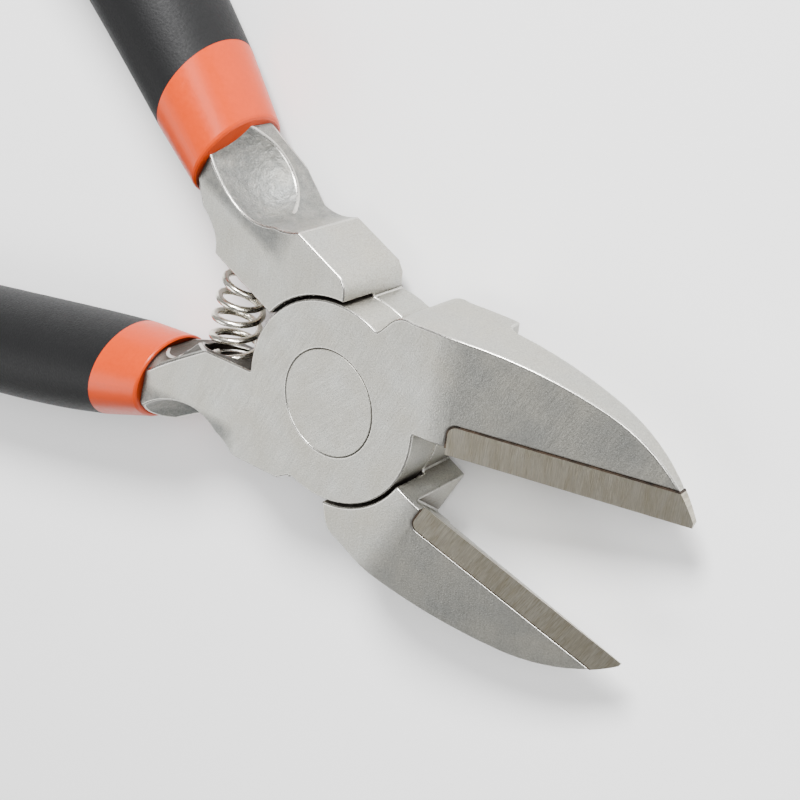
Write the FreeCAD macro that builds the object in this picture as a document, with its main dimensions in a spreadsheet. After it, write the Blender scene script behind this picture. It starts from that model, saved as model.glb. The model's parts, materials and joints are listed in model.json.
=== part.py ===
"""Diagonal cutting pliers with carbide-tipped jaws, as a parametric assembly.

Frame: +Z up out of the joint's front face, +X from the pivot towards the jaws,
origin on the pivot axis at the joint's lower flat face. Millimetres.
Each half is drawn closed, with its cutting edge along +X, and is then turned
about the pivot by half_open, so the pliers lie part open as they rest.
"""
import FreeCAD, Part
import math
import os
import Sketcher
from FreeCAD import Placement, Rotation, Vector

# Driving sizes, in millimetres and degrees.
SIZES = {
    # joint
    "joint_thickness": 9.6,
    "disc_radius": 11.0,
    "lap_gap": 0.35,
    "face_gap": 0.04,
    "rivet_radius": 5.8,
    "rivet_clearance": 0.03,
    "half_open": 13.1,
    # jaws, measured along and away from the cutting edge
    "edge_end": 38.9,
    "edge_gap": 0.02,
    "tip_width": 0.5,
    "tip_drop": 6.5,
    "slope_start": 13.6,
    "blend_before": 1.6,
    "blend_after": 1.55,
    "blend_drop": 0.4,
    "blend_radius": 12.6,
    "jaw_height": 12.1,
    "jaw_crest": 12.0,
    "jaw_root": 6.8,
    "jaw_root_neck": 4.6,
    "jaw_root_depth": 9.0,
    "nose_x": 29.5,
    "nose_y": 8.95,
    "jaw_back_radius": 50.0,
    "nose_radius": 17.7,
    "crest_radius": 2.6,
    "throat_gap": 0.7,
    "blade_depth": 7.2,
    "blade_step": 15.6,
    "step_radius": 1.5,
    "bevel_run": 0.74,
    "bevel_depth": 12.0,
    "crest_drop": 0.7,
    "reach": 30.0,
    # carbide inserts
    "insert_start": 14.9,
    "insert_width": 3.1,
    "insert_depth": 2.0,
    "insert_corner": 0.9,
    "braze_gap": 0.15,
    # arms behind the joint, measured from the closing line
    "front_wall": 0.3,
    "back_wall": 2.4,
    "wall_draft": 2.6,
    "front_shoulder": 11.3,
    "back_shoulder": 12.4,
    "shoulder_start": 5.0,
    "shoulder_end": 12.8,
    "shoulder_foot": 4.2,
    "shoulder_cut": 1.1,
    "shoulder_drop": 0.7,
    "arm_root": 4.0,
    "arm_join": 10.2,
    "wall_start": 9.5,
    "neck_start": 16.9,
    "neck_waist": 2.0,
    "wall_end": 20.6,
    "wall_bend": 1.9,
    "wall_dip": 2.4,
    "neck_drop": 3.2,
    "collar_start": 26.0,
    "collar_swell": 1.8,
    "collar_tuck": 3.0,
    "tuck_slope": 0.3,
    "tang_width": 5.6,
    "tang_thickness": 6.0,
    "core_width": 4.9,
    "core_height": 5.3,
    "core_flare": 3.6,
    "core_reach": 12.0,
    "scoop_radius": 6.8,
    "scoop_out": 3.2,
    "scoop_height": 8.2,
    "scoop_start": 20.0,
    "scoop_angle": 18.0,
    "scoop_rise": 48.0,
    # return spring
    "spring_arm": 17.9,
    "spring_radius": 2.6,
    "spring_wire": 0.8,
    "spring_turns": 5.5,
    "seat_radius": 3.4,
    "seat_depth": 1.5,
    "seat_play": 0.3,
    "seat_reach": 10.0,
    # grips
    "front_grip_x": 27.4,
    "front_grip_y": 8.2,
    "front_middle_y": 17.0,
    "front_tail_y": 22.5,
    "back_grip_x": 26.4,
    "back_grip_y": 9.9,
    "back_middle_y": 24.4,
    "back_tail_y": 26.0,
    "grip_length": 95.0,
    "collar_length": 7.4,
    "collar_slant": 22.0,
    "slant_fade": 24.0,
    "rim_lip": 0.35,
    "rim_width": 5.5,
    "rim_height": 6.0,
    "grip_width": 6.5,
    "grip_height": 6.5,
    "swell_width": 7.0,
    "swell_height": 7.1,
    "tail_width": 6.3,
    "tail_height": 6.6,
}

MID = "0.5 * joint_thickness"

doc = FreeCAD.newDocument("diagonal_cutters")
sheet = doc.addObject("Spreadsheet::Sheet", "sizes")
for row, (alias, number) in enumerate(SIZES.items(), start=1):
    sheet.set("A%d" % row, alias)
    sheet.set("B%d" % row, str(number))
    sheet.setAlias("B%d" % row, alias)
doc.recompute()


def size(text):
    """Value of a sum of products of sizes and numbers, such as 'a + 2 * b - c'."""
    total = 0.0
    for term in text.replace(" - ", " + -1 * ").split(" + "):
        product = 1.0
        for word in term.split(" * "):
            product *= sheet.get(word) if word in SIZES else float(word)
        total += product
    return total


def bind(thing, path, text):
    """Tie a property to the sheet."""
    words = ["sizes." + word if word in SIZES else word for word in text.split()]
    thing.setExpression(path, " ".join(words))


PLANES = {
    "plan": Rotation(),                              # x, y  ->  X, Y
    "side": Rotation(Vector(1, 0, 0), 90),           # x, y  ->  X, Z
    "end": Rotation(Vector(1, 1, 1), 120),           # x, y  ->  Y, Z
}


def outline(name, points, plane="plan", radii=None, flip=False):
    """Closed sketch through points; radii gives the arc that leaves a point.

    A positive radius bulges to the left of the way round. flip mirrors the
    second coordinate, for the half that lies on the other side.
    """
    radii = radii or {}
    sketch = doc.addObject("Sketcher::SketchObject", name)
    sketch.Placement = Placement(Vector(), PLANES[plane])
    spots = []
    for across, up in points:
        spots.append((across, negative(up) if flip else up))
    corners = [Vector(size(across), size(up), 0) for across, up in spots]
    count = len(corners)
    for index, start in enumerate(corners):
        end = corners[(index + 1) % count]
        radius = radii.get(index)
        if radius is None:
            sketch.addGeometry(Part.LineSegment(start, end))
            continue
        bulge = -1 if radius.startswith("-") else 1
        bulge = -bulge if flip else bulge
        length = size(radius.lstrip("-"))
        half = (end - start) * 0.5
        left = Vector(-half.y, half.x, 0).normalize()
        rise = length - math.sqrt(max(length ** 2 - half.Length ** 2, 0.0))
        sketch.addGeometry(Part.Arc(start, start + half + left * rise * bulge, end))
    starts = []
    for index, corner in enumerate(corners):
        first = sketch.getPoint(index, 1)
        starts.append(1 if first.distanceToPoint(corner) < 1e-6 else 2)
    for index in range(count):
        after = (index + 1) % count
        sketch.addConstraint(Sketcher.Constraint(
            "Coincident", index, 3 - starts[index], after, starts[after]))
    for index, (across, up) in enumerate(spots):
        for kind, text in (("DistanceX", across), ("DistanceY", up)):
            number = sketch.addConstraint(Sketcher.Constraint(
                kind, -1, 1, index, starts[index], size(text)))
            bind(sketch, "Constraints[%d]" % number, text)
    for index, radius in radii.items():
        number = sketch.addConstraint(Sketcher.Constraint(
            "Radius", index, size(radius.lstrip("-"))))
        bind(sketch, "Constraints[%d]" % number, radius.lstrip("-"))
    return sketch


def negative(text):
    """The same sum with its sign turned."""
    terms = text.replace(" - ", " + -1 * ").split(" + ")
    return " + ".join("-1 * " + term for term in terms)


def push(name, sketch, direction, start, length):
    """Solid swept from a sketch along a direction, from start to start + length."""
    solid = doc.addObject("Part::Extrusion", name)
    solid.Base = sketch
    solid.DirMode = "Custom"
    solid.Dir = direction
    solid.Solid = True
    bind(solid, "LengthFwd", start + " + " + length)
    bind(solid, "LengthRev", negative(start))
    return solid


def cylinder(name, radius, height, base="0"):
    """Upright cylinder on the pivot axis."""
    solid = doc.addObject("Part::Cylinder", name)
    bind(solid, "Radius", radius)
    bind(solid, "Height", height)
    bind(solid, "Placement.Base.z", base)
    return solid


def fuse(name, *solids):
    joined = doc.addObject("Part::MultiFuse", name)
    joined.Shapes = list(solids)
    joined.Refine = True
    return joined


def common(name, *solids):
    shared = doc.addObject("Part::MultiCommon", name)
    shared.Shapes = list(solids)
    return shared


def cut(name, base, tool):
    result = doc.addObject("Part::Cut", name)
    result.Base = base
    result.Tool = tool
    result.Refine = True
    return result


def jaw_outline(name, flip):
    """Plan of one jaw: root against the joint, crest, nose and straight edge."""
    points = [
        ("jaw_root_neck", "throat_gap"),
        ("insert_start", "throat_gap"),
        ("insert_start", "edge_gap"),
        ("edge_end", "edge_gap"),
        ("edge_end", "edge_gap + tip_width"),
        ("nose_x", "nose_y"),
        ("jaw_crest", "jaw_height"),
        ("jaw_root + crest_radius", "jaw_height"),
        ("jaw_root", "jaw_height - crest_drop"),
        ("jaw_root_neck", "jaw_root_depth"),
    ]
    rounds = {4: "-nose_radius", 5: "-jaw_back_radius", 7: "-crest_radius"}
    return outline(name, points, radii=rounds, flip=flip)


def arm_outline(name, wall, base, shoulder, flip):
    """Plan of one arm's full-thickness steel, from the joint to inside the collar."""
    points = [
        ("-1 * shoulder_foot", "-1 * arm_root"),
        ("-1 * wall_start", negative(wall)),
        ("-1 * wall_end", negative(wall)),
        ("-1 * wall_end - wall_bend", "-1 * %s - wall_dip" % base),
        ("-1 * collar_start", "-1 * %s - neck_drop" % base),
        ("-1 * collar_start - collar_tuck", "-1 * %s - neck_drop - tuck_slope * collar_tuck" % base),
        ("-1 * collar_start - collar_tuck", "-1 * %s - collar_swell - tuck_slope * collar_tuck" % shoulder),
        ("-1 * collar_start", "-1 * %s - collar_swell" % shoulder),
        ("-1 * neck_start", "-1 * %s + neck_waist" % shoulder),
        ("-1 * shoulder_end", "-1 * " + shoulder),
        ("-1 * shoulder_start - shoulder_cut", "-1 * " + shoulder),
        ("-1 * shoulder_start", "-1 * %s + shoulder_drop" % shoulder),
        ("-1 * shoulder_foot", "-1 * arm_join"),
    ]
    rounds = {2: "4", 3: "6", 8: "6"}
    return outline(name, points, radii=rounds, flip=flip)


UP = Vector(0, 0, 1)
SLOPE_TOP = "joint_thickness"
SLOPE_END = "joint_thickness - tip_drop"


def jaw_cutters(name, mark):
    """Tools that shape a jaw: sloping front face, stepped back face and bevel."""
    front = push(name + "_front_cutter", outline(name + "_front_slope", [
        ("slope_start - blend_before", SLOPE_TOP),
        ("slope_start + blend_after", SLOPE_TOP + " - blend_drop"),
        ("edge_end", SLOPE_END),
        ("edge_end + 2", SLOPE_END + " - 0.5"),
        ("edge_end + 2", SLOPE_TOP + " + 1"),
        ("slope_start - blend_before", SLOPE_TOP + " + 1"),
    ], "side", radii={0: "blend_radius"}), Vector(0, 1, 0), "-1 * reach", "2 * reach")
    back = push(name + "_back_cutter", outline(name + "_back_step", [
        ("blade_step", "-1"),
        ("blade_step", "joint_thickness - blade_depth - step_radius"),
        ("blade_step + step_radius", "joint_thickness - blade_depth"),
        ("edge_end + 2", "joint_thickness - blade_depth"),
        ("edge_end + 2", "-1"),
    ], "side", radii={1: "step_radius"}), Vector(0, 1, 0), "-1 * reach", "2 * reach")
    wedge = outline(name + "_bevel", [
        (mark + "edge_gap", SLOPE_TOP),
        (mark + "bevel_run * bevel_depth + " + mark + "edge_gap", SLOPE_TOP + " - bevel_depth"),
        (mark + "-0.1 * reach", SLOPE_TOP + " - bevel_depth"),
        (mark + "-0.1 * reach", SLOPE_TOP),
    ], "end")
    bind(wedge, "Placement.Base.x", "slope_start")
    bevel = push(name + "_bevel_cutter", wedge,
                 Vector(size("edge_end - slope_start"), 0, size("-1 * tip_drop")), "0", "reach")
    bind(bevel, "Dir.x", "edge_end - slope_start")
    bind(bevel, "Dir.z", "-1 * tip_drop")
    return front, back, bevel


def insert_block(name, flip, gap):
    """Block that a carbide insert fills, or its seat when gap is the braze."""
    plan = push(name + "_plan_block", outline(name + "_plan", [
        ("insert_start" + gap(-1), "-1"),
        ("edge_end + 2", "-1"),
        ("edge_end + 2", "insert_width" + gap(1)),
        ("insert_start + insert_corner", "insert_width" + gap(1)),
        ("insert_start" + gap(-1), "insert_width - insert_corner"),
    ], radii={3: "-insert_corner" + gap(1)}, flip=flip), UP, "-1", "reach")
    slab = push(name + "_slab", outline(name + "_depth", [
        ("slope_start - 2", "joint_thickness + 1"),
        ("slope_start - 2", "joint_thickness - insert_depth" + gap(-1)),
        ("slope_start", "joint_thickness - insert_depth" + gap(-1)),
        ("edge_end", SLOPE_END + " - insert_depth" + gap(-1)),
        ("edge_end + 2", SLOPE_END + " - insert_depth" + gap(-1)),
        ("edge_end + 2", "joint_thickness + 1"),
    ], "side"), Vector(0, 1, 0), "-0.5 * reach", "reach")
    return common(name + "_block", plan, slab)


def no_gap(sign):
    return ""


def braze(sign):
    return " + braze_gap" if sign > 0 else " - braze_gap"


def grip_spot(part, along):
    """Centre of the grip at a distance behind the rim, as cell sums, and its heading."""
    share = along / size("grip_length")
    weights = ((1 - share) * (1 - 2 * share), 4 * share * (1 - share), share * (2 * share - 1))
    names = (part + "_grip_y", part + "_middle_y", part + "_tail_y")
    across = " + ".join("%.6f * %s" % pair for pair in zip(weights, names))
    slopes = (4 * share - 3, 4 - 8 * share, 4 * share - 1)
    rise = sum(slope * size(cell) for slope, cell in zip(slopes, names))
    heading = math.degrees(math.atan(rise / size("grip_length")))
    return "-1 * %s_grip_x - %.6f" % (part, along), across, heading


def grip_ring(name, part, flip, along, width, height, slant):
    """Oval section of a grip, upright across its centre line."""
    across_x, across_y, heading = grip_spot(part, along)
    ring = doc.addObject("Part::Ellipse", name)
    bind(ring, "MajorRadius", height)
    bind(ring, "MinorRadius", width)
    turn = heading - slant
    turn = -turn if flip else turn
    upright = Rotation(Vector(0, 0, 1), turn) * Rotation(Vector(0, 1, 0), -90)
    ring.Placement = Placement(Vector(), upright)
    bind(ring, "Placement.Base.x", across_x)
    bind(ring, "Placement.Base.y", across_y if flip else negative(across_y))
    bind(ring, "Placement.Base.z", MID)
    return ring


def loft(name, rings):
    solid = doc.addObject("Part::Loft", name)
    solid.Sections = rings
    solid.Solid = True
    return solid


def neck_core(part, flip):
    """Oval the neck is drawn down to before it enters the collar, and all in front of it."""
    rings = []
    for index, along in enumerate((-size("core_reach"), 0.0, size("collar_tuck"))):
        flare = " + core_flare" if index == 0 else ""
        rings.append(grip_ring("%s_core_ring_%d" % (part, index), part, flip, along,
                               "core_width" + flare, "core_height" + flare, size("collar_slant")))
    oval = loft(part + "_core_oval", rings)
    oval.Ruled = True
    ahead = doc.addObject("Part::Box", part + "_ahead_of_neck")
    for path, text in (("Length", "2 * reach"), ("Width", "2 * reach"), ("Height", "2 * reach"),
                       ("Placement.Base.x", "-1 * neck_start"), ("Placement.Base.y", "-1 * reach"),
                       ("Placement.Base.z", "-0.5 * reach")):
        bind(ahead, path, text)
    return fuse(part + "_neck_bounds", oval, ahead)


def slant_at(along):
    """Lean of a section: the collar's slant, fading out along the grip."""
    start = size("collar_length")
    fade = (along - start) / (size("slant_fade") - start)
    return size("collar_slant") * (1 - min(max(fade, 0.0), 1.0))


def blend(low, high, share):
    return "%.4f * %s + %.4f * %s" % (1 - share, low, share, high)


parts = []


def finish(solid, node, turn):
    """Name a finished piece for its node and turn it to its resting place."""
    solid.Label = node
    solid.Placement = Placement(Vector(), Rotation(UP, 0))
    bind(solid, "Placement.Rotation.Angle", turn)
    parts.append(solid)
    return solid


def build_half(part, flip, turn):
    """Lever, carbide insert, braze, collar and grip of one half."""
    mark = "-1 * " if flip else ""
    wall = "back_wall - wall_draft" if flip else "front_wall"
    base = part + "_wall"
    shoulder = part + "_shoulder"

    # forged blank: jaw and arm at full thickness, relieved for the other disc
    jaw = push(part + "_jaw", jaw_outline(part + "_jaw_plan", flip), UP, "0", "joint_thickness")
    arm_plan = arm_outline(part + "_arm_plan", wall, base, shoulder, flip)
    arm = push(part + "_arm", arm_plan, UP, "0", "joint_thickness")
    draft = push(part + "_wall_cutter", outline(part + "_wall_draft", [
        (("" if flip else "-1 * ") + base, "joint_thickness"),
        (("" if flip else "-1 * ") + base + " - wall_draft", "0"),
        (mark + "arm_root", "0"),
        (mark + "arm_root", "joint_thickness"),
    ], "end"), Vector(1, 0, 0), "-2 * reach - arm_root", "2 * reach")
    arm = cut(part + "_drafted_arm", common(part + "_drawn_arm", arm, neck_core(part, flip)), draft)
    half_height = "0.5 * joint_thickness - 0.5 * face_gap"
    above = "0.5 * joint_thickness + 0.5 * face_gap"
    disc = cylinder(part + "_disc", "disc_radius", half_height, "0" if flip else above)
    relief = cylinder(part + "_relief", "disc_radius + lap_gap", above + " + 1",
                      half_height if flip else "-1")
    bulk = cut(part + "_relieved", fuse(part + "_blocks", jaw, arm), relief)

    # tang that the grip is pushed onto
    tang_plan = outline(part + "_tang_plan", [
        ("-1 * collar_start - 1", "-1 * %s_grip_y + 0.5 * tang_width" % part),
        ("-1 * %s_grip_x - 0.5 * grip_length" % part, "-1 * %s_middle_y + 0.35 * tang_width" % part),
        ("-1 * %s_grip_x - 0.5 * grip_length" % part, "-1 * %s_middle_y - 0.35 * tang_width" % part),
        ("-1 * collar_start - 1", "-1 * %s_grip_y - 0.5 * tang_width" % part),
    ], flip=flip)
    tang = push(part + "_tang", tang_plan, UP, "0.5 * joint_thickness - 0.5 * tang_thickness",
                "tang_thickness")
    forging = fuse(part + "_forging", bulk, disc, tang)

    # ground jaw faces, shared by the lever, its insert and the braze between
    front_cutter, back_cutter, bevel_cutter = jaw_cutters(part, mark)
    jaw_tools = fuse(part + "_jaw_tools", front_cutter, back_cutter, bevel_cutter)
    ground = cut(part + "_ground", forging, jaw_tools)
    seat_block = insert_block(part + "_seat", flip, braze)
    carbide_block = insert_block(part + "_carbide", flip, no_gap)

    # scooped outer side of the neck, round seat for the spring, rivet hole
    scoop_y = shoulder + " + scoop_out"
    side_y = scoop_y if flip else negative(scoop_y)
    ball = doc.addObject("Part::Sphere", part + "_scoop_end")
    bind(ball, "Radius", "scoop_radius")
    trough = doc.addObject("Part::Cylinder", part + "_scoop")
    bind(trough, "Radius", "scoop_radius")
    bind(trough, "Height", "2 * reach")
    lean = -size("scoop_angle") if flip else size("scoop_angle")
    pitch = size("scoop_rise") - 90
    trough.Placement = Placement(Vector(), Rotation(UP, lean) * Rotation(Vector(0, 1, 0), pitch))
    for tool in (ball, trough):
        bind(tool, "Placement.Base.x", "-1 * scoop_start")
        bind(tool, "Placement.Base.y", side_y)
        bind(tool, "Placement.Base.z", "scoop_height")
    seat = doc.addObject("Part::Cylinder", part + "_spring_seat")
    bind(seat, "Radius", "seat_radius")
    bind(seat, "Height", "seat_reach")
    seat.Placement = Placement(Vector(), Rotation(Vector(1, 0, 0), 90 if flip else -90))
    seat_bottom = base + (" - 0.5 * wall_draft" if flip else " + 0.5 * wall_draft") + " + seat_depth"
    bind(seat, "Placement.Base.x", "-1 * spring_arm")
    bind(seat, "Placement.Base.y", seat_bottom if flip else negative(seat_bottom))
    bind(seat, "Placement.Base.z", MID)
    hole = cylinder(part + "_rivet_hole", "rivet_radius" + (" + rivet_clearance" if flip else ""),
                    "joint_thickness + 2", "-1")
    tools = fuse(part + "_lever_tools", ball, trough, seat, hole, seat_block)
    finish(cut(part + "_lever_solid", ground, tools), part + "_lever", turn)

    # carbide insert and the braze that holds it
    blank = common(part + "_insert_blank", ground, seat_block)
    insert = common(part + "_insert_solid", ground, carbide_block)
    finish(insert, part + "_carbide_insert", turn)
    finish(cut(part + "_braze_solid", blank, carbide_block), part + "_braze", turn)

    # grips: orange collar over the neck, black sleeve behind it
    steel = cut(part + "_grip_core", fuse(part + "_grip_steel", arm, tang),
                fuse(part + "_scoop_tools", ball, trough))
    rim = [
        (0.0, "rim_width - rim_lip", "rim_height - rim_lip"),
        (size("0.4 * rim_lip"), "rim_width - 0.4 * rim_lip", "rim_height - 0.4 * rim_lip"),
        (size("rim_lip"), "rim_width - 0.1 * rim_lip", "rim_height - 0.1 * rim_lip"),
        (size("2 * rim_lip"), "rim_width", "rim_height"),
        (size("collar_length"), "grip_width", "grip_height"),
    ]
    rings = [grip_ring("%s_collar_ring_%d" % (part, index), part, flip, along, width, height,
                       slant_at(along)) for index, (along, width, height) in enumerate(rim)]
    tube = loft(part + "_collar_loft", rings)
    tube.Ruled = True
    collar = cut(part + "_collar_solid", tube, steel)
    finish(collar, part + "_collar", turn)
    length = size("grip_length")
    sleeve = [(size("collar_length"), "grip_width", "grip_height")]
    for share in (0.14, 0.24, 0.36, 0.5):
        reach = math.sin(math.radians(90 * (share - 0.07) / 0.43))
        sleeve.append((share * length, blend("grip_width", "swell_width", reach),
                       blend("grip_height", "swell_height", reach)))
    for share in (0.64, 0.78, 0.9):
        reach = (1 - math.cos(math.pi * (share - 0.5) / 0.4)) / 2
        sleeve.append((share * length, blend("swell_width", "tail_width", reach),
                       blend("swell_height", "tail_height", reach)))
    for share, closing in ((0.955, 0.93), (0.985, 0.72), (0.998, 0.36)):
        sleeve.append((share * length, "%.4f * tail_width" % closing,
                       "%.4f * tail_height" % closing))
    rings = [grip_ring("%s_grip_ring_%d" % (part, index), part, flip, along, width, height,
                       slant_at(along)) for index, (along, width, height) in enumerate(sleeve)]
    grip = cut(part + "_grip_solid", loft(part + "_grip_loft", rings), steel)
    finish(grip, part + "_grip", turn)


build_half("front", False, "half_open")
build_half("back", True, "-1 * half_open")


def build_rivet():
    """Flush pivot rivet through both halves."""
    body = doc.addObject("PartDesign::Body", "rivet_body")
    section = body.newObject("Sketcher::SketchObject", "rivet_section")
    plane = [item for item in body.Origin.OriginFeatures if item.Role == "XY_Plane"][0]
    section.AttachmentSupport = (plane, [""])
    section.MapMode = "FlatFace"
    section.addGeometry(Part.Circle(Vector(), UP, size("rivet_radius")))
    section.addConstraint(Sketcher.Constraint("Coincident", 0, 3, -1, 1))
    section.addConstraint(Sketcher.Constraint("Radius", 0, size("rivet_radius")))
    bind(section, "Constraints[1]", "rivet_radius")
    pad = body.newObject("PartDesign::Pad", "rivet_length")
    pad.Profile = section
    bind(pad, "Length", "joint_thickness")
    body.Label = "pivot_rivet"
    parts.append(body)


def build_spring():
    """Compression spring between the arms, curved about the pivot."""
    arm, coil, wire = size("spring_arm"), size("spring_radius"), size("spring_wire")
    play = size("seat_play") + 0.5 * wire
    front_floor = size("front_wall + 0.5 * wall_draft + seat_depth") - play
    back_floor = size("back_wall - 0.5 * wall_draft + seat_depth") - play
    start = math.radians(size("half_open")) + math.asin(front_floor / arm)
    end = math.radians(-size("half_open")) - math.asin(back_floor / arm)
    turns = size("spring_turns")
    points = []
    steps = int(turns * 16)
    for step in range(steps + 1):
        share = step / steps
        around = 2 * math.pi * turns * share
        angle = math.pi + start + (end - start) * share
        out = arm + coil * math.cos(around)
        points.append(Vector(out * math.cos(angle), out * math.sin(angle),
                             size(MID) + coil * math.sin(around)))
    path = Part.BSplineCurve()
    path.interpolate(points)
    spine = Part.Wire([path.toShape()])
    tangent = path.tangent(path.FirstParameter)[0]
    section = Part.Wire([Part.Circle(points[0], tangent, 0.5 * wire).toShape()])
    shell = Part.BRepOffsetAPI.MakePipeShell(spine)
    shell.setFrenetMode(True)
    shell.add(section)
    shell.build()
    shell.makeSolid()
    spring = doc.addObject("Part::Feature", "spring_solid")
    spring.Shape = shell.shape()
    spring.Label = "return_spring"
    parts.append(spring)


build_rivet()
build_spring()
doc.recompute()

for thing in doc.Objects:
    if {"Invalid", "Error"} & set(thing.State):
        raise RuntimeError("%s did not build: %s" % (thing.Name, thing.State))
os.makedirs("parts", exist_ok=True)
for piece in parts:
    if piece.Shape.isNull() or not piece.Shape.isValid():
        raise RuntimeError(piece.Label + " has no valid shape")
    print("%-22s %9.1f mm3  %d solid" % (piece.Label, piece.Shape.Volume, len(piece.Shape.Solids)))
    piece.Shape.exportStep("parts/%s.step" % piece.Label)
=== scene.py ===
"""Diagonal cutting pliers: finishes, softened edges, coil spring, floor, lights and camera."""
import json
import math

import bpy
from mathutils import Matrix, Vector


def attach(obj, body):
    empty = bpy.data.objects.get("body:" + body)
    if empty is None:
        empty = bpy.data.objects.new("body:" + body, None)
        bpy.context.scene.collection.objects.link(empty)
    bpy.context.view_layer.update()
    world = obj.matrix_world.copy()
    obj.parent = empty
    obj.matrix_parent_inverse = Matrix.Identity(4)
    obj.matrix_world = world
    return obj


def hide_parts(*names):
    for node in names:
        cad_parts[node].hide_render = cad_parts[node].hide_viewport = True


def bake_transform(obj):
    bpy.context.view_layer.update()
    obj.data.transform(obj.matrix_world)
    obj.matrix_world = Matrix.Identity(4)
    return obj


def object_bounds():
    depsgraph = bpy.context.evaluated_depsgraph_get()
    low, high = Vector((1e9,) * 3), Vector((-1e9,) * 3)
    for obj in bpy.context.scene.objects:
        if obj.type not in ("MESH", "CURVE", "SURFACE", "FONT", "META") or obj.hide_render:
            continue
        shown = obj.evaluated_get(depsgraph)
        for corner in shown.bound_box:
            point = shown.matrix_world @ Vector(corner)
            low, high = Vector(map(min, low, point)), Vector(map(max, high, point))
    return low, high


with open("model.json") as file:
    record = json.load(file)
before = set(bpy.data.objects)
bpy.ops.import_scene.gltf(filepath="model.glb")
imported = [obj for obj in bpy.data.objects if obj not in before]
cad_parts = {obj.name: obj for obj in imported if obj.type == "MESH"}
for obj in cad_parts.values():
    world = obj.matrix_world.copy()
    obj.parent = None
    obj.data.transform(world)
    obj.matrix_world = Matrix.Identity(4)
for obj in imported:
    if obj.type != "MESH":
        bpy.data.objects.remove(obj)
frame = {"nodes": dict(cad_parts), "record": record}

CAD_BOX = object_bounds()

bl_info = {
    "name": "Diagonal cutting pliers",
    "version": (1, 0, 0),
    "blender": (4, 5, 0),
    "location": "3D View > Sidebar > Cutters",
    "description": "Dresses the packed pliers in steel, carbide and vinyl, and sets the stage",
    "category": "Object",
}

MM = 0.001
# turn of each half from the closing line, and the height of the joint's middle
HALF_OPEN = math.radians(13.1)
JOINT_MIDDLE = 4.8 * MM
# direction of the rivet's brushing, and the sharpest corners that stay unrounded
RIVET_BRUSHING = 0.6
FORGING_ANGLE = math.radians(35)
RIVET_ANGLE = math.radians(50)
RIVET_ROUND = 0.09 * MM
MERGE_GAP = 0.001 * MM
# facets round the wire, and rings of them in one turn of the spring
WIRE_SIDES = 20
STEPS_PER_TURN = 40
# floor, sky, camera and lamps
FLOOR_SIZE = 6.0
FLOOR_GAP = 0.1 * MM
SKY_STRENGTH = 0.45
HORIZON = (1.25, 1.25, 1.25)
OVERHEAD = (0.72, 0.72, 0.72)
WHITE = (1.0, 1.0, 1.0)
ORIGIN = (0, 0, 0)
CAMERA_PLACE = (65.42 * MM, 78.20 * MM, 112.17 * MM)
CAMERA_TURN = (-19.681, 37.930, 21.372)
CAMERA_LENS = 63.0
CAMERA_NEAR = 10 * MM
LAMPS = (
    # name, place, target, watts at a lamp power of 1, width
    ("edge_lamp", (-0.10, 0.60, 0.42), (0, 0, 0.005), 20.0, 0.20),
    ("key_lamp", (0.34, 0.44, 0.52), ORIGIN, 7.0, 0.35),
    ("face_lamp", (-0.38, -0.40, 0.56), ORIGIN, 3.6, 0.50),
)


# ---------------------------------------------------------------- node helpers

def add(tree, kind, place, **values):
    """New node of a kind; values set its properties, or inputs when they name a socket."""
    node = tree.nodes.new(kind)
    node.location = place
    for key, value in values.items():
        if hasattr(node, key):
            setattr(node, key, value)
        else:
            node.inputs[key.replace("_", " ")].default_value = value
    return node


def link(tree, source, target):
    """Wire an output to an input."""
    tree.links.new(source, target)


def mix_colour(tree, place, factor, first, second, mode="MIX"):
    """Colour mix; first and second are sockets or plain colours."""
    node = add(tree, "ShaderNodeMix", place, data_type="RGBA", blend_type=mode)
    if isinstance(factor, float):
        node.inputs[0].default_value = factor
    else:
        link(tree, factor, node.inputs[0])
    for number, value in ((6, first), (7, second)):
        if isinstance(value, tuple):
            node.inputs[number].default_value = (*value, 1.0)
        else:
            link(tree, value, node.inputs[number])
    return node.outputs[2]


def spread(tree, place, source, low, high, new_low=0.0, new_high=1.0):
    """Map Range of a value, clamped."""
    node = add(tree, "ShaderNodeMapRange", place)
    for number, value in enumerate((low, high, new_low, new_high), start=1):
        node.inputs[number].default_value = value
    link(tree, source, node.inputs[0])
    return node.outputs[0]


def maths(tree, place, operation, first, second=0.0):
    """Math node; first and second are sockets or plain numbers."""
    node = add(tree, "ShaderNodeMath", place, operation=operation)
    for number, value in enumerate((first, second)):
        if isinstance(value, (int, float)):
            node.inputs[number].default_value = value
        else:
            link(tree, value, node.inputs[number])
    return node.outputs[0]


def new_group(name, inputs, outputs):
    """Empty shader node group with its sockets, its tree, and its two ends."""
    tree = bpy.data.node_groups.new(name, "ShaderNodeTree")
    for label, kind, default in inputs:
        socket = tree.interface.new_socket(label, in_out="INPUT", socket_type="NodeSocket" + kind)
        if default is not None:
            socket.default_value = default
    for label, kind in outputs:
        tree.interface.new_socket(label, in_out="OUTPUT", socket_type="NodeSocket" + kind)
    start = tree.nodes.new("NodeGroupInput")
    start.location = (-900, 0)
    end = tree.nodes.new("NodeGroupOutput")
    end.location = (700, 0)
    return tree, start, end


def use_group(tree, name, place, **values):
    """Place a shared group; values go to the inputs of the same name."""
    node = add(tree, "ShaderNodeGroup", place)
    node.node_tree = bpy.data.node_groups[name]
    for key, value in values.items():
        socket = node.inputs[key.replace("_", " ")]
        if isinstance(value, bpy.types.NodeSocket):
            link(tree, value, socket)
        else:
            socket.default_value = (*value, 1.0) if isinstance(value, tuple) else value
    return node


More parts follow.
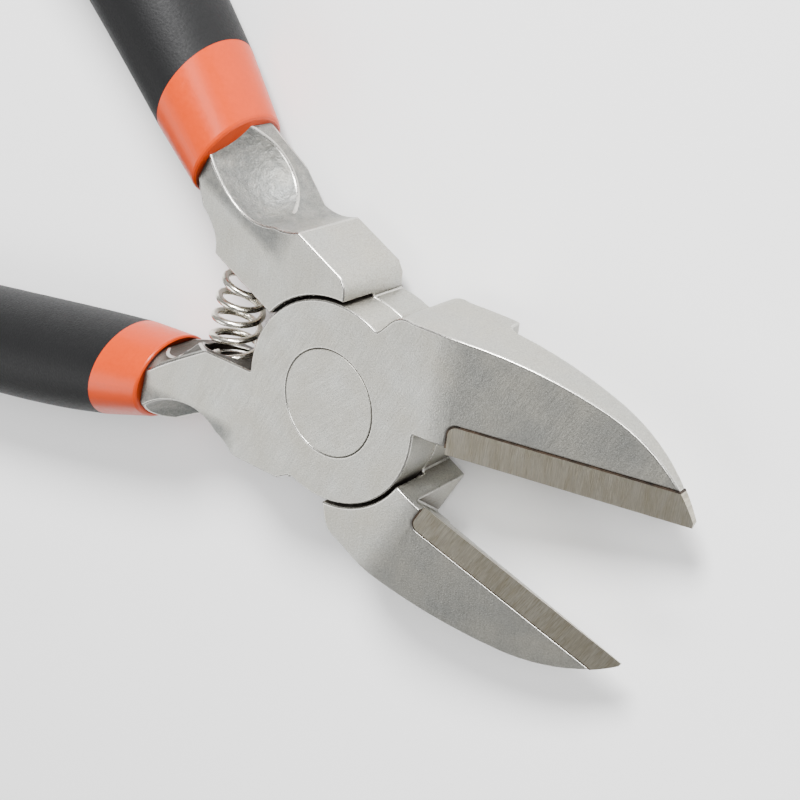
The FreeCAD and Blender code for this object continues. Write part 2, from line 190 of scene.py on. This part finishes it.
def new_material(name, metallic, roughness):
    """Material with its tree, its shader and the place on the piece."""
    material = bpy.data.materials.new(name)
    material.use_nodes = True
    tree = material.node_tree
    shader = tree.nodes["Principled BSDF"]
    shader.location = (500, 0)
    tree.nodes["Material Output"].location = (800, 0)
    shader.inputs["Metallic"].default_value = metallic
    shader.inputs["Roughness"].default_value = roughness
    where = add(tree, "ShaderNodeTexCoord", (-900, 0)).outputs["Object"]
    return material, tree, shader, where


# ---------------------------------------------------------------- shared effects

def build_grain_group():
    """Fine grain of blasted or moulded surfaces: pits, speckle and slow mottling."""
    tree, start, end = new_group("fine_grain", [
        ("Vector", "Vector", None), ("Grain Size", "Float", 0.25), ("Mottle Size", "Float", 4.0),
        ("Depth", "Float", 0.2),
    ], [("Speckle", "Float"), ("Mottle", "Float"), ("Normal", "Vector")])
    vector = start.outputs["Vector"]
    scales = []
    for row, label in enumerate(("Grain Size", "Mottle Size")):
        scales.append(maths(tree, (-700, -200 * row), "DIVIDE", 1000.0, start.outputs[label]))
    fine = add(tree, "ShaderNodeTexNoise", (-450, 200), Detail=3.0, Roughness=0.6)
    link(tree, vector, fine.inputs["Vector"])
    link(tree, scales[0], fine.inputs["Scale"])
    pits = add(tree, "ShaderNodeTexVoronoi", (-450, -50))
    link(tree, vector, pits.inputs["Vector"])
    link(tree, scales[0], pits.inputs["Scale"])
    slow = add(tree, "ShaderNodeTexNoise", (-450, -350), Detail=4.0, Roughness=0.55)
    link(tree, vector, slow.inputs["Vector"])
    link(tree, scales[1], slow.inputs["Scale"])
    height = maths(tree, (-200, 50), "MULTIPLY_ADD", pits.outputs["Distance"], 0.6)
    link(tree, fine.outputs["Fac"], height.node.inputs[2])
    bump = add(tree, "ShaderNodeBump", (100, -100), Distance=0.00006)
    link(tree, start.outputs["Depth"], bump.inputs["Strength"])
    link(tree, height, bump.inputs["Height"])
    link(tree, spread(tree, (100, 250), fine.outputs["Fac"], 0.3, 0.7), end.inputs["Speckle"])
    link(tree, spread(tree, (100, -350), slow.outputs["Fac"], 0.3, 0.7), end.inputs["Mottle"])
    link(tree, bump.outputs["Normal"], end.inputs["Normal"])


def build_lines_group():
    """Grinding lines: noise drawn out along one direction after a turn about Z."""
    tree, start, end = new_group("grinding_lines", [
        ("Vector", "Vector", None), ("Turn", "Float", 0.0), ("Spacing", "Float", 0.2),
        ("Draw", "Float", 25.0),
    ], [("Lines", "Float")])
    turn = add(tree, "ShaderNodeVectorRotate", (-650, 0), rotation_type="Z_AXIS")
    link(tree, start.outputs["Vector"], turn.inputs["Vector"])
    link(tree, start.outputs["Turn"], turn.inputs["Angle"])
    across = maths(tree, (-650, -250), "DIVIDE", 1000.0, start.outputs["Spacing"])
    along = maths(tree, (-450, -350), "DIVIDE", across, start.outputs["Draw"])
    scale = add(tree, "ShaderNodeCombineXYZ", (-250, -250))
    for label, value in (("X", across), ("Y", along), ("Z", along)):
        link(tree, value, scale.inputs[label])
    drawn = add(tree, "ShaderNodeVectorMath", (-100, 0), operation="MULTIPLY")
    link(tree, turn.outputs["Vector"], drawn.inputs[0])
    link(tree, scale.outputs["Vector"], drawn.inputs[1])
    noise = add(tree, "ShaderNodeTexNoise", (150, 0), Scale=1.0, Detail=3.0, Roughness=0.7)
    link(tree, drawn.outputs["Vector"], noise.inputs["Vector"])
    link(tree, spread(tree, (400, 0), noise.outputs["Fac"], 0.3, 0.7), end.inputs["Lines"])


def build_forging_group():
    """Masks of a lever, read from its place turned back to the closed tool.

    Forged is 1 in the scooped outer side of the arm, Inner on the wall behind the joint, where
    dark oxide and painted shade darken the steel.
    """
    tree, start, end = new_group("forging_masks", [
        ("Vector", "Vector", None), ("Turn", "Float", 0.0), ("Side", "Float", 1.0),
    ], [("Forged", "Float"), ("Inner", "Float")])
    turn = add(tree, "ShaderNodeVectorRotate", (-700, 0), rotation_type="Z_AXIS")
    link(tree, start.outputs["Vector"], turn.inputs["Vector"])
    link(tree, start.outputs["Turn"], turn.inputs["Angle"])
    split = add(tree, "ShaderNodeSeparateXYZ", (-500, 0))
    link(tree, turn.outputs["Vector"], split.inputs["Vector"])
    along, height = split.outputs["X"], split.outputs["Z"]
    out = maths(tree, (-300, -100), "MULTIPLY", split.outputs["Y"], start.outputs["Side"])
    behind = spread(tree, (-300, 150), along, -12.5 * MM, -15.0 * MM)
    outer = spread(tree, (-100, -100), out, -7.4 * MM, -8.6 * MM)
    link(tree, maths(tree, (200, 100), "MULTIPLY", behind, outer), end.inputs["Forged"])
    back = spread(tree, (-300, 350), along, -8.5 * MM, -9.5 * MM)
    under = spread(tree, (-100, 350), height, 9.45 * MM, 9.2 * MM)
    inner = spread(tree, (-100, -300), out, -4.6 * MM, -3.6 * MM)
    wall = maths(tree, (200, 350), "MULTIPLY", back, under)
    link(tree, maths(tree, (400, 200), "MULTIPLY", wall, inner), end.inputs["Inner"])


# ---------------------------------------------------------------- materials

def steel_material(name, tint, finish, turn, side=1):
    """Satin blasted steel: grain, mottling, faint brushing, forged scoop, painted shade in
    recesses, and dark oxide with painted shade on the inner wall.
    """
    material, tree, shader, where = new_material(name, 1.0, finish.steel_roughness)
    masks = use_group(tree, "forging_masks", (-600, 450), Vector=where, Turn=-turn, Side=side)
    grain = use_group(tree, "fine_grain", (-600, 100), Vector=where, Grain_Size=0.16,
                      Mottle_Size=5.0, Depth=0.35)
    lines = use_group(tree, "grinding_lines", (-600, -200), Vector=where, Turn=turn,
                      Spacing=0.16, Draw=18.0)
    dark = tuple(channel * 0.74 for channel in tint)
    light = tuple(min(channel * 1.14, 1.0) for channel in tint)
    base = mix_colour(tree, (-350, 200), grain.outputs["Speckle"], dark, light)
    warm = mix_colour(tree, (-150, 200), grain.outputs["Mottle"], (0.93, 0.95, 0.98),
                      (1.0, 0.985, 0.95))
    base = mix_colour(tree, (50, 200), 1.0, base, warm, "MULTIPLY")
    # painted shade: ambient occlusion darkens the steel towards a near-black brown in creases and
    # recesses
    painted_shade_ao = add(tree, "ShaderNodeAmbientOcclusion", (-350, 450), samples=8, Distance=0.003)
    shade = spread(tree, (-150, 450), painted_shade_ao.outputs["AO"], 0.35, 0.85)
    base = mix_colour(tree, (250, 200), shade, (0.10, 0.085, 0.07), base)
    # dark oxide and painted shade: the inner wall behind the joint is darkened to about an eighth
    # of its colour, partly oxide, partly painted shade
    scale = mix_colour(tree, (250, 450), masks.outputs["Inner"], WHITE, (0.13, 0.115, 0.10))
    base = mix_colour(tree, (400, 200), 1.0, base, scale, "MULTIPLY")
    hammered = use_group(tree, "fine_grain", (-600, -500), Vector=where, Grain_Size=0.9,
                         Mottle_Size=2.5, Depth=0.0)
    dull = mix_colour(tree, (250, 650), hammered.outputs["Speckle"], (0.50, 0.52, 0.55),
                      (0.74, 0.75, 0.77))
    scale = mix_colour(tree, (400, 450), masks.outputs["Forged"], WHITE, dull)
    base = mix_colour(tree, (550, 200), 1.0, base, scale, "MULTIPLY")
    link(tree, base, shader.inputs["Base Color"])
    coarse = maths(tree, (-350, -300), "MULTIPLY_ADD", masks.outputs["Forged"], 1.6)
    link(tree, lines.outputs["Lines"], coarse.node.inputs[2])
    rough = maths(tree, (-150, -100), "MULTIPLY_ADD", coarse, 0.10)
    smooth = spread(tree, (-350, -100), grain.outputs["Mottle"], 0.0, 1.0,
                    finish.steel_roughness - 0.08, finish.steel_roughness)
    link(tree, smooth, rough.node.inputs[2])
    link(tree, rough, shader.inputs["Roughness"])
    dents = maths(tree, (-150, -450), "MULTIPLY", hammered.outputs["Speckle"],
                  masks.outputs["Forged"])
    bump = add(tree, "ShaderNodeBump", (150, -450), Strength=0.6, Distance=0.00015)
    link(tree, dents, bump.inputs["Height"])
    link(tree, grain.outputs["Normal"], bump.inputs["Normal"])
    link(tree, bump.outputs["Normal"], shader.inputs["Normal"])
    return material


def carbide_material(name, finish, turn):
    """Ground carbide: warm grey with lines square to the cutting edge."""
    material, tree, shader, where = new_material(name, 1.0, 0.4)
    lines = use_group(tree, "grinding_lines", (-600, 100), Vector=where, Turn=turn,
                      Spacing=0.11, Draw=16.0)
    bands = use_group(tree, "grinding_lines", (-600, -150), Vector=where, Turn=turn,
                      Spacing=0.7, Draw=5.0)
    tint = tuple(finish.carbide_colour)
    base = mix_colour(tree, (-350, 100), lines.outputs["Lines"],
                      tuple(channel * 0.55 for channel in tint), tint)
    tone = mix_colour(tree, (-150, -100), bands.outputs["Lines"], (0.80, 0.77, 0.70), WHITE)
    base = mix_colour(tree, (50, 100), 1.0, base, tone, "MULTIPLY")
    link(tree, base, shader.inputs["Base Color"])
    rough = spread(tree, (50, -150), lines.outputs["Lines"], 0.0, 1.0, 0.5, 0.34)
    link(tree, rough, shader.inputs["Roughness"])
    bump = add(tree, "ShaderNodeBump", (250, -250), Strength=0.35, Distance=0.00003)
    link(tree, lines.outputs["Lines"], bump.inputs["Height"])
    link(tree, bump.outputs["Normal"], shader.inputs["Normal"])
    return material


def braze_material():
    """Thin line of oxidised braze."""
    material, tree, shader, where = new_material("braze_oxide", 0.6, 0.6)
    grain = use_group(tree, "fine_grain", (-600, 0), Vector=where, Grain_Size=0.2,
                      Mottle_Size=1.2, Depth=0.6)
    base = mix_colour(tree, (-200, 0), grain.outputs["Mottle"], (0.012, 0.009, 0.007),
                      (0.07, 0.045, 0.028))
    link(tree, base, shader.inputs["Base Color"])
    link(tree, grain.outputs["Normal"], shader.inputs["Normal"])
    return material


def edge_material():
    """Bare bright steel where the edges are rubbed smooth."""
    material, tree, shader, where = new_material("bare_edge", 1.0, 0.28)
    grain = use_group(tree, "fine_grain", (-600, 0), Vector=where, Grain_Size=0.3,
                      Mottle_Size=3.0, Depth=0.12)
    base = mix_colour(tree, (-200, 0), grain.outputs["Mottle"], (0.42, 0.41, 0.38),
                      (0.58, 0.57, 0.53))
    link(tree, base, shader.inputs["Base Color"])
    link(tree, spread(tree, (-200, -200), grain.outputs["Speckle"], 0.0, 1.0, 0.24, 0.34),
         shader.inputs["Roughness"])
    link(tree, grain.outputs["Normal"], shader.inputs["Normal"])
    return material


def wire_material():
    """Nickel-plated spring wire."""
    material, tree, shader, where = new_material("nickel_wire", 1.0, 0.2)
    grain = use_group(tree, "fine_grain", (-600, 0), Vector=where, Grain_Size=0.35,
                      Mottle_Size=2.0, Depth=0.15)
    base = mix_colour(tree, (-200, 0), grain.outputs["Mottle"], (0.58, 0.55, 0.46),
                      (0.90, 0.87, 0.78))
    link(tree, base, shader.inputs["Base Color"])
    link(tree, spread(tree, (-200, -200), grain.outputs["Speckle"], 0.0, 1.0, 0.14, 0.30),
         shader.inputs["Roughness"])
    link(tree, grain.outputs["Normal"], shader.inputs["Normal"])
    return material


def vinyl_material(name, tint, roughness, depth, grain_size, contrast):
    """Dipped vinyl: moulded grain, slow mottling, a soft sheen and painted shade in crevices."""
    material, tree, shader, where = new_material(name, 0.0, roughness)
    shader.inputs["Specular IOR Level"].default_value = 0.22
    grain = use_group(tree, "fine_grain", (-600, 0), Vector=where, Grain_Size=grain_size,
                      Mottle_Size=9.0, Depth=depth)
    dark = tuple(channel * (1 - contrast) for channel in tint)
    light = tuple(min(channel * (1 + contrast), 1.0) for channel in tint)
    base = mix_colour(tree, (-300, 150), grain.outputs["Mottle"], dark, light)
    flecks = mix_colour(tree, (-100, 150), grain.outputs["Speckle"], (0.92, 0.92, 0.92), WHITE)
    base = mix_colour(tree, (100, 150), 1.0, base, flecks, "MULTIPLY")
    # painted shade: ambient occlusion darkens the vinyl to a dark shade of its tint in crevices
    # and under the collar's lip
    painted_shade_ao = add(tree, "ShaderNodeAmbientOcclusion", (-100, 400), samples=8, Distance=0.0025)
    shade = spread(tree, (100, 400), painted_shade_ao.outputs["AO"], 0.45, 0.9)
    base = mix_colour(tree, (300, 150), shade, tuple(channel * 0.12 for channel in tint), base)
    link(tree, base, shader.inputs["Base Color"])
    link(tree, spread(tree, (-100, -150), grain.outputs["Speckle"], 0.0, 1.0,
                      roughness - 0.06, roughness + 0.06), shader.inputs["Roughness"])
    link(tree, grain.outputs["Normal"], shader.inputs["Normal"])
    return material


def floor_material():
    """Plain pale matt floor."""
    material, tree, shader, where = new_material("pale_floor", 0.0, 0.6)
    grain = use_group(tree, "fine_grain", (-600, 0), Vector=where, Grain_Size=2.0,
                      Mottle_Size=60.0, Depth=0.02)
    base = mix_colour(tree, (-200, 0), grain.outputs["Mottle"], (0.955, 0.955, 0.955),
                      (0.97, 0.97, 0.97))
    link(tree, base, shader.inputs["Base Color"])
    return material


# ---------------------------------------------------------------- mesh helpers

def deselect():
    """Leave nothing selected."""
    for thing in bpy.context.selected_objects:
        thing.select_set(False)


def make_active(thing):
    """Select one object alone."""
    deselect()
    thing.select_set(True)
    bpy.context.view_layer.objects.active = thing


def apply_all(thing):
    """Apply every modifier, in order."""
    make_active(thing)
    for modifier in list(thing.modifiers):
        bpy.ops.object.modifier_apply(modifier=modifier.name)


def merged_copy(node, name):
    """Copy of a CAD node with its triangles welded where their corners meet."""
    source = frame["nodes"][node]
    piece = source.copy()
    piece.data = source.data.copy()
    piece.name = name
    piece.data.name = name
    piece.parent = None
    for key in list(piece.keys()):
        if key.startswith("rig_"):
            del piece[key]
    bpy.context.scene.collection.objects.link(piece)
    make_active(piece)
    bpy.ops.object.mode_set(mode="EDIT")
    bpy.ops.mesh.select_all(action="SELECT")
    bpy.ops.mesh.remove_doubles(threshold=MERGE_GAP)
    bpy.ops.mesh.customdata_custom_splitnormals_clear()
    bpy.ops.object.mode_set(mode="OBJECT")
    return piece


def body_of(node):
    """Name of the moving body that holds a node."""
    for body, members in frame["record"]["behaviour"]["bodies"].items():
        if node in members:
            return body
    raise RuntimeError("no body holds " + node)


def paint(thing, *materials):
    """Give an object these material slots."""
    thing.data.materials.clear()
    for material in materials:
        thing.data.materials.append(material)


# ---------------------------------------------------------------- settings

class CutterFinish(bpy.types.PropertyGroup):
    """Finishes and small sizes of the dressed pliers."""
    steel_colour: bpy.props.FloatVectorProperty(
        name="Steel colour", description="Tint of the satin forged steel",
        default=(0.445, 0.437, 0.396), min=0, max=1, size=3, subtype="COLOR")
    steel_roughness: bpy.props.FloatProperty(
        name="Steel roughness", description="Blur of the blasted steel's reflections",
        default=0.46, min=0, max=1, subtype="FACTOR")
    carbide_colour: bpy.props.FloatVectorProperty(
        name="Carbide colour", description="Tint of the ground cutting inserts",
        default=(0.53, 0.495, 0.41), min=0, max=1, size=3, subtype="COLOR")
    collar_colour: bpy.props.FloatVectorProperty(
        name="Collar colour", description="Tint of the bright vinyl collars",
        default=(0.55, 0.045, 0.0004), min=0, max=1, size=3, subtype="COLOR")
    grip_colour: bpy.props.FloatVectorProperty(
        name="Grip colour", description="Tint of the dark vinyl sleeves",
        default=(0.0055, 0.0056, 0.0060), min=0, max=1, size=3, subtype="COLOR")
    edge_round: bpy.props.FloatProperty(
        name="Edge rounding", description="Width of the softened edges of the steel",
        default=0.22 * MM, min=0, unit="LENGTH", subtype="DISTANCE")
    wire_radius: bpy.props.FloatProperty(
        name="Wire radius", description="Radius of the spring wire",
        default=0.4 * MM, min=0, unit="LENGTH", subtype="DISTANCE")
    coil_radius: bpy.props.FloatProperty(
        name="Coil radius", description="Radius of the spring from its axis to the wire's centre",
        default=2.6 * MM, min=0, unit="LENGTH", subtype="DISTANCE")
    coil_arm: bpy.props.FloatProperty(
        name="Coil arm", description="Distance from the pivot to the spring's axis",
        default=17.9 * MM, min=0, unit="LENGTH", subtype="DISTANCE")
    front_seat: bpy.props.FloatProperty(
        name="Front seat",
        description="Angle about the pivot from the closing line to the front seat",
        default=math.radians(20.6), unit="ROTATION", subtype="ANGLE")
    back_seat: bpy.props.FloatProperty(
        name="Back seat",
        description="Angle about the pivot from the closing line to the back seat",
        default=math.radians(19.0), unit="ROTATION", subtype="ANGLE")
    coil_turns: bpy.props.FloatProperty(
        name="Coil turns", description="Turns of wire between the two seats",
        default=5.5, min=1)
    lamp_power: bpy.props.FloatProperty(
        name="Lamp power", description="Share of each lamp's full power",
        default=0.75, min=0)


def settings():
    """The scene's own finish settings."""
    return bpy.context.scene.cutter_finish


# ---------------------------------------------------------------- pieces

class CUTTERS_OT_effects(bpy.types.Operator):
    """Build the shared node groups"""
    bl_idname = "cutters.effects"
    bl_label = "Shared effects"

    def execute(self, context):
        build_grain_group()
        build_lines_group()
        build_forging_group()
        return {"FINISHED"}


def soften(piece, width, limit, edge_slot=-1):
    """Round the sharp edges of a merged copy; the rounding can take its own material slot."""
    make_active(piece)
    flat = piece.modifiers.new("faces", "DECIMATE")
    flat.decimate_type = "DISSOLVE"
    flat.angle_limit = math.radians(0.4)
    flat.delimit = {"SHARP"}
    bevel = piece.modifiers.new("rounding", "BEVEL")
    bevel.width = width
    bevel.segments = 3
    bevel.limit_method = "ANGLE"
    bevel.angle_limit = limit
    bevel.use_clamp_overlap = False
    bevel.material = edge_slot
    bevel.miter_outer = "MITER_ARC"
    apply_all(piece)
    bpy.ops.object.shade_smooth_by_angle(angle=math.radians(45))
    even = piece.modifiers.new("even_shading", "WEIGHTED_NORMAL")
    even.weight = 100
    even.keep_sharp = True
    apply_all(piece)


class CUTTERS_OT_levers(bpy.types.Operator):
    """Forged levers with softened edges and blasted steel"""
    bl_idname = "cutters.levers"
    bl_label = "Levers"

    def execute(self, context):
        finish = settings()
        edge = edge_material()
        for node, name, side in (("front_lever", "front_forging", 1),
                                 ("back_lever", "back_forging", -1)):
            piece = merged_copy(node, name)
            steel = steel_material("blasted_steel_" + node.split("_")[0],
                                   tuple(finish.steel_colour), finish, side * HALF_OPEN, side)
            paint(piece, steel, edge)
            soften(piece, finish.edge_round, FORGING_ANGLE, 1)
            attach(piece, body_of(node))
            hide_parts(node)
        return {"FINISHED"}


class CUTTERS_OT_rivet(bpy.types.Operator):
    """Flush pivot rivet with a fine parting line"""
    bl_idname = "cutters.rivet"
    bl_label = "Pivot rivet"

    def execute(self, context):
        finish = settings()
        piece = merged_copy("pivot_rivet", "flush_rivet")
        tint = tuple(channel * 1.02 for channel in finish.steel_colour)
        paint(piece, steel_material("rivet_steel", tint, finish, RIVET_BRUSHING))
        soften(piece, RIVET_ROUND, RIVET_ANGLE)
        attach(piece, body_of("pivot_rivet"))
        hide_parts("pivot_rivet")
        return {"FINISHED"}


class CUTTERS_OT_inserts(bpy.types.Operator):
    """Ground carbide inserts and the braze round them"""
    bl_idname = "cutters.inserts"
    bl_label = "Carbide inserts"

    def execute(self, context):
        finish = settings()
        braze = braze_material()
        for part, turn in (("front", HALF_OPEN), ("back", -HALF_OPEN)):
            insert = frame["nodes"][part + "_carbide_insert"]
            paint(insert, carbide_material("ground_carbide_" + part, finish, -turn))
            paint(frame["nodes"][part + "_braze"], braze)
        return {"FINISHED"}


def wind(spring, arm, start):
    """Bend a straight coil on the Z axis round the pivot, from the front seat to the back one."""
    for vertex in spring.data.vertices:
        out, up, along = vertex.co
        angle = math.pi + start - along / arm
        reach = arm + out
        vertex.co = (reach * math.cos(angle), reach * math.sin(angle), JOINT_MIDDLE + up)


class CUTTERS_OT_spring(bpy.types.Operator):
    """Return spring of plated wire, bent round the pivot"""
    bl_idname = "cutters.spring"
    bl_label = "Return spring"

    def execute(self, context):
        finish = settings()
        arm, start, end = finish.coil_arm, finish.front_seat, finish.back_seat
        deselect()
        bpy.ops.mesh.primitive_circle_add(vertices=WIRE_SIDES, radius=finish.wire_radius,
                                          location=ORIGIN, rotation=(math.pi / 2, 0, 0))
        spring = bpy.context.object
        spring.name = "coil_spring"
        bpy.ops.object.transform_apply(location=False, rotation=True, scale=False)
        bpy.ops.object.mode_set(mode="EDIT")
        bpy.ops.mesh.select_all(action="SELECT")
        bpy.ops.transform.translate(value=(finish.coil_radius, 0, 0))
        bpy.ops.object.mode_set(mode="OBJECT")
        coil = spring.modifiers.new("coil", "SCREW")
        coil.axis = "Z"
        coil.angle = 2 * math.pi * finish.coil_turns
        coil.screw_offset = arm * (start + end)
        coil.steps = coil.render_steps = int(STEPS_PER_TURN * finish.coil_turns)
        coil.use_merge_vertices = False
        apply_all(spring)
        bpy.ops.object.mode_set(mode="EDIT")
        bpy.ops.mesh.select_all(action="DESELECT")
        bpy.ops.mesh.select_non_manifold()
        bpy.ops.mesh.edge_face_add()
        bpy.ops.object.mode_set(mode="OBJECT")
        wind(spring, arm, start)
        make_active(spring)
        bpy.ops.object.mode_set(mode="EDIT")
        bpy.ops.mesh.select_all(action="SELECT")
        bpy.ops.mesh.normals_make_consistent(inside=False)
        bpy.ops.object.mode_set(mode="OBJECT")
        bpy.ops.object.shade_smooth_by_angle(angle=math.radians(50))
        paint(spring, wire_material())
        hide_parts("return_spring")
        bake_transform(spring)
        return {"FINISHED"}


class CUTTERS_OT_collars(bpy.types.Operator):
    """Bright semi-gloss vinyl collars"""
    bl_idname = "cutters.collars"
    bl_label = "Collars"

    def execute(self, context):
        vinyl = vinyl_material("collar_vinyl", tuple(settings().collar_colour), roughness=0.34,
                               depth=0.10, grain_size=0.5, contrast=0.05)
        for node in ("front_collar", "back_collar"):
            paint(frame["nodes"][node], vinyl)
        return {"FINISHED"}


class CUTTERS_OT_grips(bpy.types.Operator):
    """Dark matte vinyl sleeves with a fine moulded grain"""
    bl_idname = "cutters.grips"
    bl_label = "Grips"

    def execute(self, context):
        vinyl = vinyl_material("grip_vinyl", tuple(settings().grip_colour), roughness=0.58,
                               depth=0.35, grain_size=0.28, contrast=0.12)
        for node in ("front_grip", "back_grip"):
            paint(frame["nodes"][node], vinyl)
        return {"FINISHED"}


def lamp(name, place, target, power, across):
    """Soft round lamp aimed at a point."""
    deselect()
    bpy.ops.object.light_add(type="AREA", location=place)
    light = bpy.context.object
    light.name = name
    light.data.energy = power
    light.data.shape = "DISK"
    light.data.size = across
    light.rotation_euler = (Vector(target) - Vector(place)).to_track_quat("-Z", "Y").to_euler()


class CUTTERS_OT_stage(bpy.types.Operator):
    """Pale floor, soft lamps and the camera"""
    bl_idname = "cutters.stage"
    bl_label = "Stage"

    def execute(self, context):
        lowest = CAD_BOX[0][2]
        deselect()
        bpy.ops.mesh.primitive_plane_add(size=FLOOR_SIZE, location=ORIGIN)
        floor = bpy.context.object
        floor.name = "floor"
        bpy.ops.object.mode_set(mode="EDIT")
        bpy.ops.mesh.select_all(action="SELECT")
        bpy.ops.transform.translate(value=(0, 0, lowest - FLOOR_GAP))
        bpy.ops.object.mode_set(mode="OBJECT")
        paint(floor, floor_material())
        power = settings().lamp_power
        for name, place, target, watts, width in LAMPS:
            lamp(name, place, target, watts * power, width)
        world = bpy.data.worlds.new("studio")
        context.scene.world = world
        world.use_nodes = True
        tree = world.node_tree
        sky = tree.nodes["Background"]
        sky.inputs["Strength"].default_value = SKY_STRENGTH
        where = add(tree, "ShaderNodeTexCoord", (-900, 0)).outputs["Generated"]
        split = add(tree, "ShaderNodeSeparateXYZ", (-700, 0))
        link(tree, where, split.inputs["Vector"])
        height = spread(tree, (-500, 0), split.outputs["Z"], 0.0, 0.8)
        link(tree, mix_colour(tree, (-300, 0), height, HORIZON, OVERHEAD), sky.inputs["Color"])
        bpy.ops.object.camera_add(location=CAMERA_PLACE,
                                  rotation=[math.radians(angle) for angle in CAMERA_TURN])
        camera = bpy.context.object
        camera.name = "camera"
        camera.data.lens = CAMERA_LENS
        camera.data.clip_start = CAMERA_NEAR
        context.scene.camera = camera
        return {"FINISHED"}


class CUTTERS_PT_panel(bpy.types.Panel):
    """Buttons for each group of pieces, and the settings"""
    bl_idname = "CUTTERS_PT_panel"
    bl_label = "Cutting pliers"
    bl_space_type = "VIEW_3D"
    bl_region_type = "UI"
    bl_category = "Cutters"

    def draw(self, context):
        finish = context.scene.cutter_finish
        for label in CutterFinish.__annotations__:
            self.layout.prop(finish, label)
        for operator in STEPS:
            self.layout.operator(operator.bl_idname)


STEPS = (CUTTERS_OT_effects, CUTTERS_OT_levers, CUTTERS_OT_rivet, CUTTERS_OT_inserts,
         CUTTERS_OT_spring, CUTTERS_OT_collars, CUTTERS_OT_grips, CUTTERS_OT_stage)


def register():
    for item in (CutterFinish, *STEPS, CUTTERS_PT_panel):
        bpy.utils.register_class(item)
    bpy.types.Scene.cutter_finish = bpy.props.PointerProperty(type=CutterFinish)


def unregister():
    del bpy.types.Scene.cutter_finish
    for item in reversed((CutterFinish, *STEPS, CUTTERS_PT_panel)):
        bpy.utils.unregister_class(item)


def main():
    register()
    bpy.ops.cutters.effects()
    bpy.ops.cutters.levers()
    bpy.ops.cutters.rivet()
    bpy.ops.cutters.inserts()
    bpy.ops.cutters.spring()
    bpy.ops.cutters.collars()
    bpy.ops.cutters.grips()
    bpy.ops.cutters.stage()


if __name__ == "__main__":
    main()
